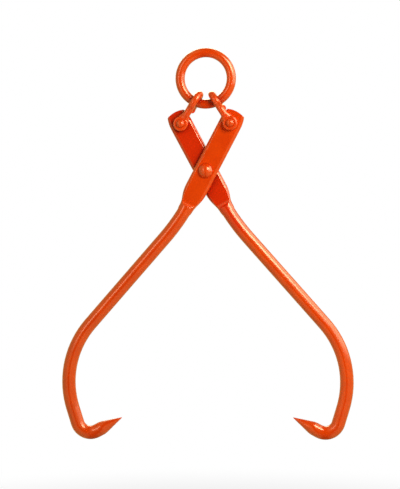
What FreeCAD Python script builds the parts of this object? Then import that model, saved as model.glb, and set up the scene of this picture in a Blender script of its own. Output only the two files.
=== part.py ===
import FreeCAD, Part
import math
import os

# Skidding tongs. Two hooked arms cross at one rivet, and two short links join the arms' upper
# ends to a lifting ring, so that a pull on the ring drives the points into a log.
# Millimetres. The origin is the ring's centre, +Z is up, +X is to the right seen from the
# front, and +Y points to the back. The front arm runs from upper right to lower left.

# Lifting ring of round bar
RING_BAR = 13.0
RING_INSIDE = 59.0

# Arm: one length of round bar, flattened and pierced at its head, bowed, hooked and pointed
BAR = 19.0
FLAT_WIDTH = 32.0
FLAT_THICKNESS = 9.0
SWAGED_DEPTH = 14.0  # depth of the squeezed bar's oval before its faces are struck flat
PIVOT_TO_LINK_HOLE = 74.8
END_BEYOND_HOLE = 18.6
END_RADIUS = 35.0
END_TAPER_LENGTH = 20.4
END_TAPER = 6.7  # width lost over the taper
FULL_WIDTH_BELOW_PIVOT = 29.5
ROUND_BELOW_PIVOT = 65.5
FACE_BELOW_PIVOT = 57.0
FACE_RAMP_RADIUS = 8.0

# Arm's centreline below the pivot, where each turn is in degrees
LEAN_START = 44.0
LEAN_RADIUS = 280.0
LEAN_TURN = 13.45
SHANK_RUN = 161.3
BOW_RADIUS = 124.0
BOW_TURN = 58.35
LOWER_RUN = 22.5
HOOK_RADIUS = 19.0
HOOK_TURN = 101.0
SPUR_LENGTH = 40.8
POINT_HALF_ANGLE = 16.5
POINT_BLEND_RADIUS = 27.5
POINT_TIP_RADIUS = 0.5

# Link: a round rod with a forged eye below and a closed bent eye above
LINK_ROD = 10.0
LINK_LENGTH = 48.9  # lower rivet to the middle of the rod at the crown of the upper eye
UPPER_EYE_SIDE_GAP = 1.2
LOWER_EYE_WIDTH = 20.5
LOWER_EYE_THICKNESS = 8.0
LOWER_EYE_EDGE = 2.2
LOWER_EYE_NECK = 17.0
JOGGLE_PAST_ARM_END = 2.4  # where the rod starts to joggle, so that it swings over the arm's end
LEFT_TAIL_SPLAY = 12.0  # degrees that the short end of the upper eye points out to the right
RIGHT_TAIL_SPLAY = 16.0
TAIL_TURN = 66.0

# Rivets
PIVOT_RIVET = 12.0
PIVOT_HEAD_WIDTH = 20.4
PIVOT_HEAD_HEIGHT = 7.8
LINK_RIVET = 8.0
LINK_HEAD_WIDTH = 11.6
LINK_HEAD_HEIGHT = 4.6

# How it hangs at rest
HALF_SPREAD = 27.9  # degrees from the vertical to each arm's head
CROWN_SPACING = 17.0  # between the crowns of the two links on the ring

# Clearances
FACE_GAP = 0.3  # between two flat faces that turn on each other
HEAD_GAP = 0.15  # under a rivet's head
RIVET_PLAY = 0.05  # round a rivet's shank, on the radius
CROWN_GAP = 0.35  # between a link's crown and the ring

HEAD_STATIONS = 16
NECK_STATIONS = 4
MARGIN = 10.0  # how far a cutting solid stands out of what it cuts
TOUCHING = 1e-6  # a distance that counts as none

ring_radius = (RING_INSIDE + RING_BAR) / 2
upper_eye_radius = (RING_BAR + LINK_ROD) / 2 + UPPER_EYE_SIDE_GAP
crown_circle = ring_radius - (RING_BAR + LINK_ROD) / 2 - CROWN_GAP
crown_x = CROWN_SPACING / 2
crown_z = -math.sqrt(crown_circle**2 - crown_x**2)

spread = math.radians(HALF_SPREAD)
rivet_x = PIVOT_TO_LINK_HOLE * math.sin(spread)
rivet_z = crown_z - math.sqrt(LINK_LENGTH**2 - (rivet_x - crown_x) ** 2)
pivot_z = rivet_z - PIVOT_TO_LINK_HOLE * math.cos(spread)
link_lean = math.degrees(math.atan2(rivet_x - crown_x, crown_z - rivet_z))

# The upper eyes straddle the ring, so their front rods lie this far before it. One lower eye
# lies on each arm's front face, and the lap is midway, so both links joggle by as much.
strand_y = -upper_eye_radius
joggle = (FLAT_THICKNESS + FACE_GAP) / 2
lap_y = strand_y + FACE_GAP / 2 + LINK_ROD / 2 + joggle
rear_face_y = lap_y + FACE_GAP / 2
front_face_y = lap_y - FACE_GAP / 2 - FLAT_THICKNESS
lap_outer_y = lap_y + FACE_GAP / 2 + FLAT_THICKNESS


def vector(x, y, z):
    return FreeCAD.Vector(x, y, z)


X_AXIS = vector(1, 0, 0)
Y_AXIS = vector(0, 1, 0)
Z_AXIS = vector(0, 0, 1)
CENTRE = vector(0, 0, 0)


def arc(start, middle, end):
    return Part.Arc(start, middle, end).toShape()


def line(start, end):
    return Part.LineSegment(start, end).toShape()


def swept(edges, diameter, start, direction):
    """A round bar along a route of edges that meet tangent."""
    section = Part.Wire([Part.makeCircle(diameter / 2, start, direction)])
    return Part.Wire(edges).makePipeShell([section], True, False)


def joined(first, *others):
    return first.multiFuse(list(others)).removeSplitter()


class Route:
    """An arm's centreline in the XZ plane, from the pivot down, made of runs and bends."""

    def __init__(self):
        self.point = CENTRE
        self.heading = 0.0
        self.edges = []

    def direction(self, turn=0.0):
        """Heading 0 points down, and a positive turn goes towards -X."""
        angle = math.radians(self.heading + turn)
        return vector(-math.sin(angle), 0, -math.cos(angle))

    def run(self, length):
        end = self.point + self.direction() * length
        self.edges.append(line(self.point, end))
        self.point = end

    def bend(self, radius, turn):
        side = math.copysign(90, turn)
        centre = self.point + self.direction(side) * radius
        middle = centre - self.direction(side + turn / 2) * radius
        end = centre - self.direction(side + turn) * radius
        self.edges.append(arc(self.point, middle, end))
        self.point = end
        self.heading += turn

    def down_to(self, distance):
        """The route from the pivot to a place on the first lean."""
        self.run(min(distance, LEAN_START))
        if distance > LEAN_START:
            self.bend(LEAN_RADIUS, math.degrees((distance - LEAN_START) / LEAN_RADIUS))


def head_width(height):
    """The flattened head's width at a height above the pivot, and below it where negative."""
    taper_start = PIVOT_TO_LINK_HOLE + END_BEYOND_HOLE - END_TAPER_LENGTH
    if height > taper_start:
        share = (height - taper_start) / END_TAPER_LENGTH
        return FLAT_WIDTH - END_TAPER * share**2
    return BAR + (FLAT_WIDTH - BAR) * flattened(height)


def head_depth(height):
    return BAR + (SWAGED_DEPTH - BAR) * flattened(height)


def flattened(height):
    """1 where the bar is fully flattened and 0 where it is still round."""
    share = (-height - FULL_WIDTH_BELOW_PIVOT) / (ROUND_BELOW_PIVOT - FULL_WIDTH_BELOW_PIVOT)
    return (1 + math.cos(math.pi * min(max(share, 0.0), 1.0))) / 2


def oval(centre, across, forwards, width, depth):
    """A closed oval, or a circle where its width and depth are the same."""
    if width - depth < TOUCHING:
        return Part.Wire([Part.makeCircle(width / 2, centre, across.cross(forwards))])
    ellipse = Part.Ellipse(centre + across * width / 2, centre + forwards * depth / 2, centre)
    return Part.Wire([ellipse.toShape()])


def swaged_head():
    """The bar's upper part squeezed oval, from above its end down to where it is round."""
    top = PIVOT_TO_LINK_HOLE + END_BEYOND_HOLE + MARGIN / 4
    step = (top + ROUND_BELOW_PIVOT) / HEAD_STATIONS
    sections = []
    for station in range(HEAD_STATIONS + 1):
        height = top - station * step
        route = Route()
        if height < 0:
            route.down_to(-height)
        else:
            route.point = vector(0, 0, height)
        across = route.direction(-90)
        sections.append(oval(route.point, across, Y_AXIS, head_width(height), head_depth(height)))
    return Part.makeLoft(sections, True)


def striking_die():
    """What the flat die clears in front of one face: its lower edge leaves the ramp."""
    height = FACE_BELOW_PIVOT + PIVOT_TO_LINK_HOLE + END_BEYOND_HOLE + MARGIN
    width = FLAT_WIDTH + 2 * MARGIN
    corner = vector(-width / 2, FLAT_THICKNESS / 2, -FACE_BELOW_PIVOT)
    die = Part.makeBox(width, BAR, height, corner)
    ramp = [
        edge
        for edge in die.Edges
        if math.hypot(edge.CenterOfMass.y - corner.y, edge.CenterOfMass.z - corner.z) < TOUCHING
    ]
    return die.makeFillet(FACE_RAMP_RADIUS, ramp)


def end_offcut():
    """What the curved shear takes off the head's end."""
    top = PIVOT_TO_LINK_HOLE + END_BEYOND_HOLE
    width = FLAT_WIDTH + 2 * MARGIN
    corner = vector(-width / 2, -BAR, top - MARGIN)
    block = Part.makeBox(width, 2 * BAR, 2 * MARGIN, corner)
    kept = Part.makeCylinder(END_RADIUS, 2 * BAR, vector(0, -BAR, top - END_RADIUS), Y_AXIS)
    return block.cut(kept)


def cross_hole(diameter, z):
    radius = diameter / 2 + RIVET_PLAY
    return Part.makeCylinder(radius, 2 * BAR, vector(0, -BAR, z), Y_AXIS)


def arm_head():
    die = striking_die()
    back_die = die.mirror(CENTRE, Y_AXIS)
    pivot_hole = cross_hole(PIVOT_RIVET, 0)
    link_hole = cross_hole(LINK_RIVET, PIVOT_TO_LINK_HOLE)
    return swaged_head().cut([die, back_die, end_offcut(), pivot_hole, link_hole])


def spur(route):
    """The straight end of the hook, turned to a point about its own axis."""
    origin = route.point
    along = route.direction()
    out = route.direction(90)
    half_angle = math.radians(POINT_HALF_ANGLE)
    bar_radius = BAR / 2

    def place(distance, radius):
        return origin + along * distance + out * radius

    apex = SPUR_LENGTH + POINT_TIP_RADIUS * (1 / math.sin(half_angle) - 1)
    shoulder = apex - bar_radius / math.tan(half_angle)
    tangent = POINT_BLEND_RADIUS * math.tan(half_angle / 2)
    blend_start = shoulder - tangent

    def on_blend(angle):
        rise = POINT_BLEND_RADIUS * (1 - math.cos(angle))
        return place(blend_start + POINT_BLEND_RADIUS * math.sin(angle), bar_radius - rise)

    def on_tip(angle):
        distance = SPUR_LENGTH - POINT_TIP_RADIUS * (1 - math.sin(angle))
        return place(distance, POINT_TIP_RADIUS * math.cos(angle))

    tip = place(SPUR_LENGTH, 0)
    outline = [
        line(origin, place(0, bar_radius)),
        line(place(0, bar_radius), on_blend(0)),
        arc(on_blend(0), on_blend(half_angle / 2), on_blend(half_angle)),
        line(on_blend(half_angle), on_tip(half_angle)),
        arc(on_tip(half_angle), on_tip((half_angle + math.pi / 2) / 2), tip),
        line(tip, origin),
    ]
    return Part.Face(Part.Wire(outline)).revolve(origin, along, 360)


def arm():
    """One forging, with the pivot at the origin, its head up and its bow towards -X."""
    start = Route()
    start.down_to(ROUND_BELOW_PIVOT)
    route = Route()
    route.point = start.point
    route.heading = start.heading
    route.bend(LEAN_RADIUS, LEAN_TURN - start.heading)
    route.run(SHANK_RUN)
    route.bend(BOW_RADIUS, -BOW_TURN)
    route.run(LOWER_RUN)
    route.bend(HOOK_RADIUS, -HOOK_TURN)
    bar = swept(route.edges, BAR, start.point, start.direction())
    return joined(arm_head(), bar, spur(route))


def front_arm():
    shape = arm()
    shape.rotate(CENTRE, Y_AXIS, HALF_SPREAD)
    shape.translate(vector(0, lap_y - joggle, pivot_z))
    return shape


def rear_arm():
    """The same forging as the front arm, turned half round so that the two lap face to face."""
    shape = front_arm()
    shape.rotate(vector(0, lap_y, 0), Z_AXIS, 180)
    return shape


def ring():
    return Part.makeTorus(ring_radius, RING_BAR / 2, CENTRE, Y_AXIS)


def lower_eye(back_y):
    """The forged eye, still unpierced, and its neck up to the round rod."""
    front_y = back_y - LOWER_EYE_THICKNESS
    radius = LOWER_EYE_WIDTH / 2
    disc = Part.makeCylinder(radius, LOWER_EYE_THICKNESS, vector(0, front_y, 0), Y_AXIS)
    rims = [edge for edge in disc.Edges if edge.Closed]
    disc = disc.makeFillet(LOWER_EYE_EDGE, rims)
    neck_start = LINK_RIVET / 2 + LOWER_EYE_EDGE
    sections = []
    for station in range(NECK_STATIONS + 1):
        share = station / NECK_STATIONS
        z = neck_start + (LOWER_EYE_NECK - neck_start) * share
        eye_share = (1 + math.cos(math.pi * share)) / 2
        width = LINK_ROD + (2 * math.sqrt(radius**2 - neck_start**2) - LINK_ROD) * eye_share
        depth = LINK_ROD + (LOWER_EYE_THICKNESS - LINK_ROD) * eye_share
        sections.append(oval(vector(0, back_y - depth / 2, z), X_AXIS, Y_AXIS, width, depth))
    return disc, Part.makeLoft(sections, True)


def link(face_y, tail_splay):
    """A link whose lower eye lies on a face at face_y. Its rivet is on the Y axis and it
    stands up along +Z, with the middle of its upper eye in the ring's plane, y = 0."""
    back_y = face_y - FACE_GAP
    eye_centre = vector(0, 0, LINK_LENGTH - upper_eye_radius)
    front = eye_centre - Y_AXIS * upper_eye_radius
    crown = eye_centre + Z_AXIS * upper_eye_radius
    back = eye_centre + Y_AXIS * upper_eye_radius

    foot = vector(0, back_y - LINK_ROD / 2, LOWER_EYE_NECK)
    start = vector(0, foot.y, END_BEYOND_HOLE + JOGGLE_PAST_ARM_END)
    shift = front.y - start.y
    turn = 2 * math.atan(abs(shift) / (front.z - start.z))
    radius = (front.z - start.z) / (2 * math.sin(turn))

    def on_joggle(angle):
        sideways = math.copysign(radius * (1 - math.cos(angle)), shift)
        return vector(0, sideways, radius * math.sin(angle))

    splay = math.radians(tail_splay)
    inwards = vector(math.sin(splay), -math.cos(splay), 0)
    tail_centre = back + inwards * upper_eye_radius

    def on_tail(degrees):
        angle = math.radians(degrees)
        return tail_centre - (inwards * math.cos(angle) + Z_AXIS * math.sin(angle)) * upper_eye_radius

    strand = [
        line(foot, start),
        arc(start, start + on_joggle(turn / 2), start + on_joggle(turn)),
        arc(front - on_joggle(turn), front - on_joggle(turn / 2), front),
        arc(front, crown, back),
    ]
    tail = [arc(back, on_tail(TAIL_TURN / 2), on_tail(TAIL_TURN))]
    rod = swept(strand, LINK_ROD, foot, Z_AXIS)
    rod_end = swept(tail, LINK_ROD, back, Z_AXIS)
    hole = cross_hole(LINK_RIVET, 0)
    hole.translate(vector(0, back_y, 0))
    return joined(rod, rod_end, *lower_eye(back_y)).cut(hole)


def left_link():
    shape = link(rear_face_y, LEFT_TAIL_SPLAY)
    shape.rotate(CENTRE, Y_AXIS, link_lean)
    shape.translate(vector(-rivet_x, 0, rivet_z))
    return shape


def right_link():
    shape = link(front_face_y, RIGHT_TAIL_SPLAY)
    shape.rotate(CENTRE, Y_AXIS, -link_lean)
    shape.translate(vector(rivet_x, 0, rivet_z))
    return shape


def rivet(diameter, head_width, head_height, front_y, back_y):
    """A rivet on the Y axis with a round head before front_y and behind back_y."""
    radius = diameter / 2
    head_radius = head_width / 2
    dome = (head_radius**2 + head_height**2) / (2 * head_height)
    front_seat = front_y - HEAD_GAP
    back_seat = back_y + HEAD_GAP
    half_turn = math.asin(min(head_radius / dome, 1.0)) / 2
    bulge = vector(dome * math.sin(half_turn), dome * math.cos(half_turn) - dome + head_height, 0)
    outline = [
        line(vector(0, front_seat - head_height, 0), vector(0, back_seat + head_height, 0)),
        arc(
            vector(0, back_seat + head_height, 0),
            vector(bulge.x, back_seat + bulge.y, 0),
            vector(head_radius, back_seat, 0),
        ),
        line(vector(head_radius, back_seat, 0), vector(radius, back_seat, 0)),
        line(vector(radius, back_seat, 0), vector(radius, front_seat, 0)),
        line(vector(radius, front_seat, 0), vector(head_radius, front_seat, 0)),
        arc(
            vector(head_radius, front_seat, 0),
            vector(bulge.x, front_seat - bulge.y, 0),
            vector(0, front_seat - head_height, 0),
        ),
    ]
    return Part.Face(Part.Wire(outline)).revolve(CENTRE, Y_AXIS, 360)


def pivot_rivet():
    shape = rivet(PIVOT_RIVET, PIVOT_HEAD_WIDTH, PIVOT_HEAD_HEIGHT, front_face_y, lap_outer_y)
    shape.translate(vector(0, 0, pivot_z))
    return shape


def link_rivet(face_y, arm_back_y, x):
    eye_front_y = face_y - FACE_GAP - LOWER_EYE_THICKNESS
    shape = rivet(LINK_RIVET, LINK_HEAD_WIDTH, LINK_HEAD_HEIGHT, eye_front_y, arm_back_y)
    shape.translate(vector(x, 0, rivet_z))
    return shape


NODES = {
    "lift_ring": ring(),
    "left_link": left_link(),
    "right_link": right_link(),
    "front_arm": front_arm(),
    "rear_arm": rear_arm(),
    "pivot_rivet": pivot_rivet(),
    "left_link_rivet": link_rivet(rear_face_y, lap_outer_y, -rivet_x),
    "right_link_rivet": link_rivet(front_face_y, lap_y - FACE_GAP / 2, rivet_x),
}

os.makedirs("parts", exist_ok=True)
for name, shape in NODES.items():
    shape.exportStep(f"parts/{name}.step")
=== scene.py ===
import math

import bpy
from mathutils import Matrix, Vector


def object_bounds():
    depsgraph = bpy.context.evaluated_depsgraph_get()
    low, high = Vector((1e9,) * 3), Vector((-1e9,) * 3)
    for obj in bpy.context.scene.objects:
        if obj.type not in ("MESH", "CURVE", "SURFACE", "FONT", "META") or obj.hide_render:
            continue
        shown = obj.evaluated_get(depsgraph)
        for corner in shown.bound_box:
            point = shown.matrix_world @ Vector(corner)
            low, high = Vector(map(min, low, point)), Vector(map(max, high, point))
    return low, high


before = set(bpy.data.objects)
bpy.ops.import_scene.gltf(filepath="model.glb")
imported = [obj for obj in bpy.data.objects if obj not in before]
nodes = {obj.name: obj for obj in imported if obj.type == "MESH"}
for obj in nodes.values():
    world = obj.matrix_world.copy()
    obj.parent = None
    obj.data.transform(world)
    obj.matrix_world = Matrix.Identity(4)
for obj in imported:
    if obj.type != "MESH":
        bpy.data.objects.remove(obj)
cad_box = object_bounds()

MM = 0.001

# The photograph's view, fitted to the outline of the tongs in it, in degrees and millimetres
PHOTO_HEIGHT = 489  # pixels
MM_PER_PIXEL = 1.4015
CAMERA_AZIMUTH = 5.1  # to the right of straight on
CAMERA_ELEVATION = 1.1
CAMERA_ROLL = 0.31
CAMERA_DISTANCE = 2300
SENSOR_LONG_SIDE = 24  # upright here, as the photograph is taller than wide
LOOKS_AT = (-9.0, -2.9, -232.6)

# Enamel, with its lengths in millimetres
FILM_PATCH = 22.0  # how far apart the sprayed film is thicker and thinner
FILM_SPAN = (0.35, 0.65)  # noise that gives the thinnest and the thickest film
THIN_FILM = "#DC3C01"
THICK_FILM = "#E44201"
BLADE_SHADE_FILM = "#DA2C01"  # painted shade on the rear arm's blade, which stands in the front arm's shade
BLADE_SHADE_FROM = -205.0  # height, a little below that blade, from which upwards the painted shade is full
BLADE_SHADE_FADE = 18.0  # how far down the painted shade passes into the plain film
# Painted shade: the dark red that the enamel takes where other steel stands near and shades it
PAINTED_SHADE_FILM = "#A01400"
PAINTED_SHADE_SPAN = (0.52, 0.98)  # openness that gives only painted shade, and none of it
OPENNESS_SAMPLES = 8
EDGE_SAMPLES = 16
PEEL = 3.0  # between the dimples of the enamel's orange peel
PEEL_HEIGHT = 0.004
ENAMEL_IOR = 1.6

# Room and lamps, in metres
ROOM_LIGHT = 0.22
FRONT_SHEEN = 0.02
SIDE_SHEEN = 0.95
SIDE_SPAN = (0.1, 0.32)  # how far aside a reflection points, where this sheen starts and is full
REAR_SHEEN = 0.34
REAR_SPAN = (-0.6, 0.3)  # how far to the rear it points, in the same way
WARM_WHITE = "#FFE3B4"
WARM_HAZE = "#FFEC8C"
PANEL_FADE = (0.22, 0.5)  # shares of a panel's width, from its middle, where it fades and is clear
FLOOR_SIZE = 12
FLOOR_BELOW_HOOKS = 0.16
FLOOR_PAPER = "#BBBBBB"
FLOOR_GLOW = 0.7  # share of plain white that the camera sees in the paper under the tongs
FLOOR_FADE = (0.35, 0.8)  # from the floor's middle, where the paper passes into plain white


def linear(hex_colour):
    """An sRGB hex colour as the linear RGBA that a shader takes."""
    channels = [int(hex_colour[i:i + 2], 16) / 255 for i in (1, 3, 5)]
    turned = [c / 12.92 if c <= 0.04045 else ((c + 0.055) / 1.055) ** 2.4 for c in channels]
    return (*turned, 1.0)


def add_node(tree, kind, settings=None, **links):
    """A shader node with its settings, and its inputs as values or as sockets to link. An input
    is named with _ for each space, or is _ and its number where several share one name."""
    node = tree.nodes.new(kind)
    for name, value in (settings or {}).items():
        setattr(node, name, value)
    for name, value in links.items():
        socket = node.inputs[int(name[1:])] if name[1:].isdigit() else node.inputs[name.replace("_", " ")]
        if isinstance(value, bpy.types.NodeSocket):
            tree.links.new(value, socket)
        else:
            socket.default_value = value
    return node


def ramp(tree, value, span, ends=(0.0, 1.0), shape="SMOOTHSTEP"):
    """A value that goes from one end to the other while the given value crosses the span."""
    node = add_node(
        tree, "ShaderNodeMapRange", {"interpolation_type": shape},
        Value=value, From_Min=span[0], From_Max=span[1], To_Min=ends[0], To_Max=ends[1],
    )
    return node.outputs["Result"]


def math_node(tree, operation, first, second):
    return add_node(tree, "ShaderNodeMath", {"operation": operation}, _0=first, _1=second).outputs["Value"]


def mix_colours(tree, share, first, second):
    """The first colour where the share is 0 and the second where it is 1."""
    return add_node(tree, "ShaderNodeMix", {"data_type": "RGBA"}, _0=share, _6=first, _7=second).outputs[2]


def mix_shaders(tree, share, first, second):
    """The first shader where the share is 0 and the second where it is 1."""
    return add_node(tree, "ShaderNodeMixShader", _0=share, _1=first.outputs[0], _2=second.outputs[0])


def empty_material(name):
    material = bpy.data.materials.new(name)
    material.use_nodes = True
    material.node_tree.nodes.clear()
    return material


def forged_enamel(name, forging, forging_height, edge, shade_reach, roughness, blade_shade_from=None):
    """Gloss orange enamel sprayed over hot forged steel. The eye gets a wet gloss that runs
    over slightly uneven bars and softened edges. A deeper red is painted shade: above a given
    height, for the rear arm's blade that stands in the front arm's shade, and where other steel
    stands near enough to shade the enamel. Lengths are in millimetres."""
    material = empty_material(name)
    tree = material.node_tree
    place = add_node(tree, "ShaderNodeTexCoord").outputs["Object"]

    film = add_node(tree, "ShaderNodeTexNoise", Vector=place, Scale=1 / (FILM_PATCH * MM), Detail=2.0)
    tone = add_node(tree, "ShaderNodeValToRGB", Fac=film.outputs["Fac"])
    for stop, position, colour in zip(tone.color_ramp.elements, FILM_SPAN, (THIN_FILM, THICK_FILM)):
        stop.position = position
        stop.color = linear(colour)
    sprayed = tone.outputs["Color"]
    # Painted shade: the rear arm's blade, standing in the front arm's shade, turns a deeper red above the
    # given height
    if blade_shade_from is not None:
        height = add_node(tree, "ShaderNodeSeparateXYZ", Vector=place).outputs["Z"]
        blade_shade = ramp(tree, height, ((blade_shade_from - BLADE_SHADE_FADE) * MM, blade_shade_from * MM))
        sprayed = mix_colours(tree, blade_shade, sprayed, linear(BLADE_SHADE_FILM))
    # Painted shade: a dark red where other steel stands within the reach and shades the enamel, found by
    # ambient occlusion
    openness = add_node(
        tree, "ShaderNodeAmbientOcclusion", {"samples": OPENNESS_SAMPLES}, Distance=shade_reach * MM,
    )
    clear = ramp(tree, openness.outputs["AO"], PAINTED_SHADE_SPAN, shape="LINEAR")
    base = mix_colours(tree, clear, linear(PAINTED_SHADE_FILM), sprayed)

    softened = add_node(tree, "ShaderNodeBevel", {"samples": EDGE_SAMPLES}, Radius=edge * MM)
    forged = add_node(tree, "ShaderNodeTexNoise", Vector=place, Scale=1 / (forging * MM), Detail=1.0)
    dents = add_node(
        tree, "ShaderNodeBump", Height=forged.outputs["Fac"], Distance=forging_height * MM,
        Normal=softened.outputs["Normal"],
    )
    peel = add_node(tree, "ShaderNodeTexNoise", Vector=place, Scale=1 / (PEEL * MM), Detail=1.0)
    skin = add_node(
        tree, "ShaderNodeBump", Height=peel.outputs["Fac"], Distance=PEEL_HEIGHT * MM,
        Normal=dents.outputs["Normal"],
    )
    shader = add_node(
        tree, "ShaderNodeBsdfPrincipled", Base_Color=base, Roughness=roughness, IOR=ENAMEL_IOR,
        Normal=skin.outputs["Normal"],
    )
    add_node(tree, "ShaderNodeOutputMaterial", Surface=shader.outputs["BSDF"])
    return material


def paint(node, material):
    node.data.materials.clear()
    node.data.materials.append(material)


def enamel_the_tongs():
    """One orange enamel, over steel that was worked in a different way in each kind of piece."""
    # The reach is how near other steel must stand to darken the enamel with painted shade: farthest on the
    # ring, between the links, and on the rear arm beside the front arm
    ring_enamel = forged_enamel(
        "ring_enamel", forging=24, forging_height=0.10, edge=0.5, shade_reach=18, roughness=0.15,
    )
    link_enamel = forged_enamel(
        "link_enamel", forging=14, forging_height=0.04, edge=0.8, shade_reach=1, roughness=0.22,
    )
    front_enamel = forged_enamel(
        "front_enamel", forging=30, forging_height=0.22, edge=1.2, shade_reach=1, roughness=0.14,
    )
    # The rear arm's blade gets painted shade above the given height, where it stands in the front arm's
    # shade
    rear_enamel = forged_enamel(
        "rear_enamel", forging=30, forging_height=0.22, edge=0.8, shade_reach=30, roughness=0.14,
        blade_shade_from=BLADE_SHADE_FROM,
    )
    rivet_enamel = forged_enamel(
        "rivet_enamel", forging=6, forging_height=0.02, edge=0.3, shade_reach=1, roughness=0.15,
    )
    finishes = {
        "lift_ring": (ring_enamel, "ring_paint"),
        "left_link": (link_enamel, "link_paint"),
        "right_link": (link_enamel, "link_paint"),
        "front_arm": (front_enamel, "arm_paint"),
        "rear_arm": (rear_enamel, "arm_paint"),
        "pivot_rivet": (rivet_enamel, "rivet_paint"),
        "left_link_rivet": (rivet_enamel, "rivet_paint"),
        "right_link_rivet": (rivet_enamel, "rivet_paint"),
    }
    for name, (material, slot) in finishes.items():
        node = nodes[name]
        paint(node, material)
        for polygon in node.data.polygons:
            polygon.use_smooth = True


def direction_to(azimuth, elevation):
    """A unit vector from the tongs: azimuth 0 points at their front and 90 to the right."""
    turn = math.radians(azimuth)
    rise = math.radians(elevation)
    return Vector((math.sin(turn) * math.cos(rise), -math.cos(turn) * math.cos(rise), math.sin(rise)))


def place_towards(azimuth, elevation, distance):
    """Where something stands that faces the middle of the tongs, with its turn, in metres."""
    towards = direction_to(azimuth, elevation)
    return Vector(LOOKS_AT) * MM + towards * distance, towards.to_track_quat("Z", "Y")


def camera_view():
    data = bpy.data.cameras.new("photo_camera")
    data.sensor_width = SENSOR_LONG_SIDE
    data.lens = SENSOR_LONG_SIDE * CAMERA_DISTANCE / (PHOTO_HEIGHT * MM_PER_PIXEL)
    camera = bpy.data.objects.new("photo_camera", data)
    bpy.context.scene.collection.objects.link(camera)
    place, turn = place_towards(CAMERA_AZIMUTH, CAMERA_ELEVATION, CAMERA_DISTANCE * MM)
    roll = Matrix.Rotation(math.radians(-CAMERA_ROLL), 4, "Z")
    camera.matrix_world = Matrix.Translation(place) @ turn.to_matrix().to_4x4() @ roll
    bpy.context.scene.camera = camera


def soft_lamp(name, azimuth, elevation, distance, width, height, brightness):
    """A flat lamp in metres, given by how bright its face is. It lights the tongs without
    showing in their gloss, which the bright panels are for."""
    data = bpy.data.lights.new(name, "AREA")
    data.shape = "RECTANGLE"
    data.size = width
    data.size_y = height
    data.energy = brightness * math.pi * width * height
    lamp = bpy.data.objects.new(name, data)
    place, turn = place_towards(azimuth, elevation, distance)
    lamp.location = place
    lamp.rotation_euler = turn.to_euler()
    lamp.visible_glossy = False
    bpy.context.scene.collection.objects.link(lamp)


def bright_panel(name, azimuth, elevation, distance, width, height, brightness):
    """A warm white diffuser, in metres, which only shows as a reflection in the gloss. It fades
    out towards its edges, so that the highlights have soft edges too."""
    place, turn = place_towards(azimuth, elevation, distance)
    bpy.ops.mesh.primitive_plane_add(size=1, location=place, rotation=turn.to_euler())
    panel = bpy.context.object
    panel.name = name
    panel.scale = (width, height, 1)
    material = empty_material(name)
    tree = material.node_tree
    spot = add_node(tree, "ShaderNodeTexCoord").outputs["Object"]
    offset = add_node(tree, "ShaderNodeVectorMath", {"operation": "ABSOLUTE"}, _0=spot)
    sides = add_node(tree, "ShaderNodeSeparateXYZ", Vector=offset.outputs["Vector"])
    furthest = math_node(tree, "MAXIMUM", sides.outputs["X"], sides.outputs["Y"])
    glow = add_node(tree, "ShaderNodeEmission", Color=linear(WARM_WHITE), Strength=brightness)
    air = add_node(tree, "ShaderNodeBsdfTransparent")
    mix = mix_shaders(tree, ramp(tree, furthest, PANEL_FADE), glow, air)
    add_node(tree, "ShaderNodeOutputMaterial", Surface=mix.outputs["Shader"])
    material.cycles.emission_sampling = "NONE"
    paint(panel, material)
    for rays in ("camera", "diffuse", "transmission", "volume_scatter", "shadow"):
        setattr(panel, f"visible_{rays}", False)


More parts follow.
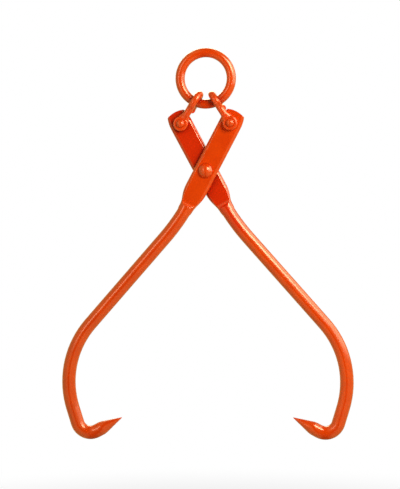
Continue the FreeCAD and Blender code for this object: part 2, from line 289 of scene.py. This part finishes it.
def white_room():
    """White behind the tongs, as the camera sees it, and a dim room in their gloss."""
    world = bpy.data.worlds.new("white_room")
    world.use_nodes = True
    tree = world.node_tree
    tree.nodes.clear()
    rays = add_node(tree, "ShaderNodeLightPath")
    direction = add_node(tree, "ShaderNodeTexCoord").outputs["Generated"]
    towards = add_node(tree, "ShaderNodeSeparateXYZ", Vector=direction)
    aside = add_node(tree, "ShaderNodeMath", {"operation": "ABSOLUTE"}, _0=towards.outputs["X"])
    side_sheen = ramp(tree, aside.outputs["Value"], SIDE_SPAN, (FRONT_SHEEN, SIDE_SHEEN), "LINEAR")
    rear_sheen = ramp(tree, towards.outputs["Y"], REAR_SPAN, (FRONT_SHEEN, REAR_SHEEN), "LINEAR")
    sheen = math_node(tree, "MAXIMUM", side_sheen, rear_sheen)
    gloss = add_node(tree, "ShaderNodeBackground", Color=linear(WARM_HAZE), Strength=sheen)
    room = add_node(tree, "ShaderNodeBackground", Color=linear("#FFFFFF"), Strength=ROOM_LIGHT)
    white = add_node(tree, "ShaderNodeBackground", Color=linear("#FFFFFF"), Strength=1.0)
    lit = mix_shaders(tree, rays.outputs["Is Glossy Ray"], room, gloss)
    mix = mix_shaders(tree, rays.outputs["Is Camera Ray"], lit, white)
    add_node(tree, "ShaderNodeOutputWorld", Surface=mix.outputs["Shader"])
    bpy.context.scene.world = world


def pale_floor():
    """White paper that keeps the tongs' shadow below them and is plain white further off."""
    low = cad_box[0]
    bpy.ops.mesh.primitive_plane_add(size=FLOOR_SIZE, location=(0, 0, low[2] - FLOOR_BELOW_HOOKS))
    floor = bpy.context.object
    floor.name = "floor"
    material = empty_material("white_paper")
    tree = material.node_tree
    spot = add_node(tree, "ShaderNodeTexCoord").outputs["Object"]
    distance = add_node(tree, "ShaderNodeVectorMath", {"operation": "LENGTH"}, _0=spot).outputs["Value"]
    far = ramp(tree, distance, FLOOR_FADE, (FLOOR_GLOW, 1.0))
    rays = add_node(tree, "ShaderNodeLightPath")
    fade = math_node(tree, "MULTIPLY", far, rays.outputs["Is Camera Ray"])
    paper = add_node(tree, "ShaderNodeBsdfDiffuse", Color=linear(FLOOR_PAPER))
    white = add_node(tree, "ShaderNodeEmission", Strength=1.0)
    mix = mix_shaders(tree, fade, paper, white)
    add_node(tree, "ShaderNodeOutputMaterial", Surface=mix.outputs["Shader"])
    paint(floor, material)
    floor.visible_glossy = False


def studio_light():
    """Soft lamps for the colour of the enamel, then bright panels for its highlights. Each has
    its azimuth, elevation, distance, width, height and brightness."""
    soft_lamp("key_light", 37, 22, 1.3, 0.55, 0.8, 11.2)
    soft_lamp("left_fill", -60, 5, 2.0, 1.0, 1.0, 1.7)
    soft_lamp("rear_key", 160, 22, 1.6, 0.9, 0.9, 4.6)
    soft_lamp("rear_fill", -130, 12, 2.0, 1.0, 1.0, 3.4)
    bright_panel("right_window", 51, 38, 1.0, 0.66, 0.62, 20)
    bright_panel("right_wall", 80, 29, 1.05, 2.0, 1.3, 6.2)
    bright_panel("left_window", -33, 18, 2.0, 0.6, 1.6, 5)
    bright_panel("rear_window", -172, 32, 1.9, 1.3, 1.3, 8)


enamel_the_tongs()
camera_view()
white_room()
pale_floor()
studio_light()

bpy.context.scene.view_settings.view_transform = "Standard"
